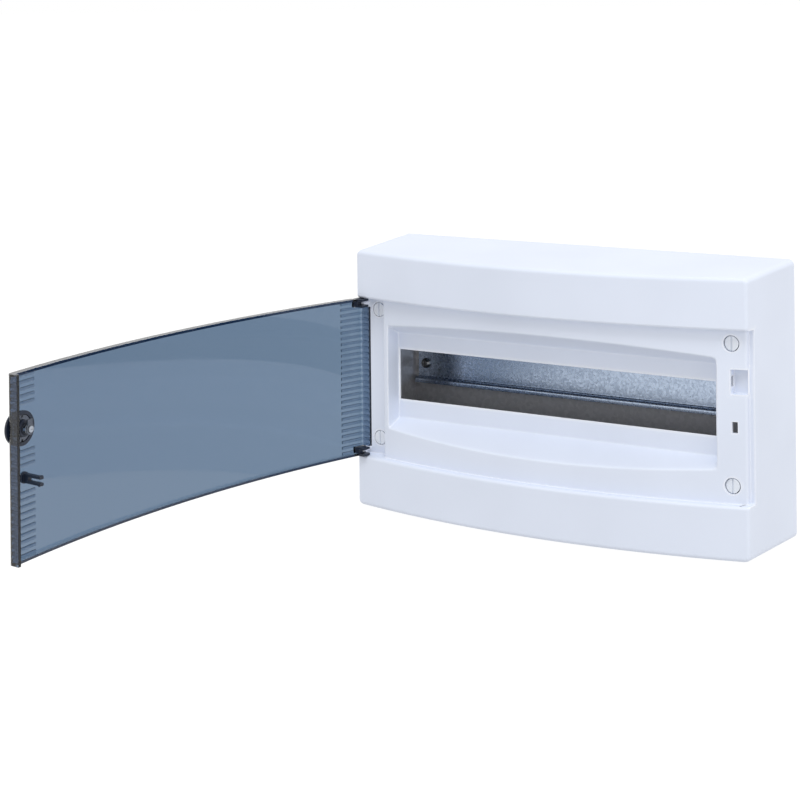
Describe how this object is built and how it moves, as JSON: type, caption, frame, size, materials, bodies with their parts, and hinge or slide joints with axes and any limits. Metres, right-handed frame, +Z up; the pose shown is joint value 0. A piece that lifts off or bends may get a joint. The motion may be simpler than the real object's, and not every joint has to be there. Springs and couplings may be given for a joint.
{
  "type": "breaker panel box",
  "caption": "Surface-mounted one-row breaker enclosure: bowed white cover with module window, DIN rail chassis and a smoke-tinted hinged door.",
  "frame": {"origin": "middle of the wall face of the back box", "axes": "+X to the right and -Y towards the user, seen from the front; +Z up"},
  "size_m": [0.4495, 0.4792, 0.2415],
  "materials": {
    "cover_plastic": "fine satin moulded plastic, slightly cool white",
    "base_plastic": "moulded plastic, light grey",
    "entry_plate_plastic": "moulded plastic, light grey",
    "smoke_tint": "clear blue-grey smoke tint, glossy",
    "dark_plastic": "dark smoke plastic, semi-gloss",
    "galvanised_steel": "hot-dip galvanised sheet with spangle",
    "zinc_screw": "zinc-plated steel, satin",
    "terminal_brass": "brass bar, satin",
    "neutral_blue_plastic": "moulded plastic, blue",
    "earth_green_plastic": "moulded plastic, green",
    "steel_pin": "drawn steel pin",
    "lock_metal": "nickel-plated zinc, polished"
  },
  "bodies": {
    "base": {"base_tray": "base_plastic", "rear_entry_plate": "entry_plate_plastic", "bottom_entry_plate": "entry_plate_plastic", "rail_chassis": "galvanised_steel", "chassis_screws": "zinc_screw", "din_rail": "galvanised_steel", "rail_screws": "zinc_screw", "neutral_bar": "terminal_brass", "neutral_bar_screws": "zinc_screw", "neutral_bar_holder": "neutral_blue_plastic", "earth_bar": "terminal_brass", "earth_bar_screws": "zinc_screw", "earth_bar_holder": "earth_green_plastic", "screw_retainers": "dark_plastic"},
    "cover": {"front_cover": "cover_plastic"},
    "screw_top_left": {"cover_screw_top_left": "cover_plastic"},
    "screw_top_right": {"cover_screw_top_right": "cover_plastic"},
    "screw_bottom_left": {"cover_screw_bottom_left": "cover_plastic"},
    "screw_bottom_right": {"cover_screw_bottom_right": "cover_plastic"},
    "door": {"door_panel": "smoke_tint", "hinge_clip_top": "dark_plastic", "hinge_clip_bottom": "dark_plastic", "hinge_pin_top": "steel_pin", "hinge_pin_bottom": "steel_pin", "latch_fork": "dark_plastic", "lock_bezel": "dark_plastic", "lock_nut": "zinc_screw"},
    "lock": {"lock_barrel": "lock_metal", "lock_cam": "lock_metal", "lock_cam_screw": "zinc_screw"}
  },
  "joints": [
    {"name": "cover_lift", "type": "slide", "parent": "base", "child": "cover", "axis": [0, -1, 0], "range_m": [0, 0.12]},
    {"name": "door_swing", "type": "hinge", "parent": "cover", "child": "door", "pos_m": [-0.1957, -0.0854, 0.001], "axis": [0, 0, 1], "range_deg": [-79.2, 95.8]},
    {"name": "lock_turn", "type": "hinge", "parent": "door", "child": "lock", "pos_m": [-0.23961, -0.46611, 0.03], "axis": [-0.9934, -0.1151, 0], "range_deg": [0, 90]},
    {"name": "screw_top_left_turn", "type": "hinge", "parent": "cover", "child": "screw_top_left", "pos_m": [-0.182, -0.074, 0.062], "axis": [0, -1, 0], "range_deg": [0, 90]},
    {"name": "screw_top_right_turn", "type": "hinge", "parent": "cover", "child": "screw_top_right", "pos_m": [0.182, -0.0805, 0.062], "axis": [0, -1, 0], "range_deg": [0, 90]},
    {"name": "screw_bottom_left_turn", "type": "hinge", "parent": "cover", "child": "screw_bottom_left", "pos_m": [-0.182, -0.074, -0.057], "axis": [0, -1, 0], "range_deg": [0, 90]},
    {"name": "screw_bottom_right_turn", "type": "hinge", "parent": "cover", "child": "screw_bottom_right", "pos_m": [0.182, -0.0805, -0.057], "axis": [0, -1, 0], "range_deg": [0, 90]}
  ]
}
